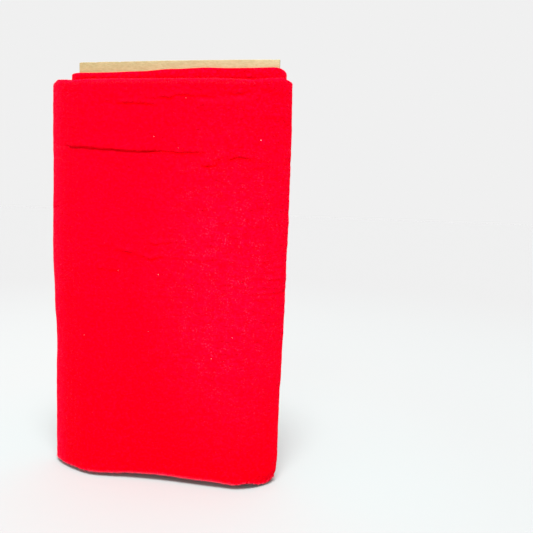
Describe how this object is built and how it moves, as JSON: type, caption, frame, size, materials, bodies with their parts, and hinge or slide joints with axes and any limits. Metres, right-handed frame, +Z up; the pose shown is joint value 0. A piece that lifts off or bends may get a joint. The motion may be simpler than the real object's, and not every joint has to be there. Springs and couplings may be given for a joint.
{
  "type": "bolt of flannel fabric on a board",
  "caption": "Flat bolt of folded flannel wound round a cardboard board, standing upright on its end.",
  "frame": {"origin": "on the surface it stands on, under the middle of the whole bolt", "axes": "+Z up along the board, X along the face, +Y from the front face to the back"},
  "size_m": [0.2454, 0.055, 0.421],
  "materials": {
    "flannel": "brushed matt flannel with a soft pile",
    "card": "plain matt brown board"
  },
  "bodies": {
    "root": {"roll": "flannel", "board": "card"}
  },
  "joints": []
}
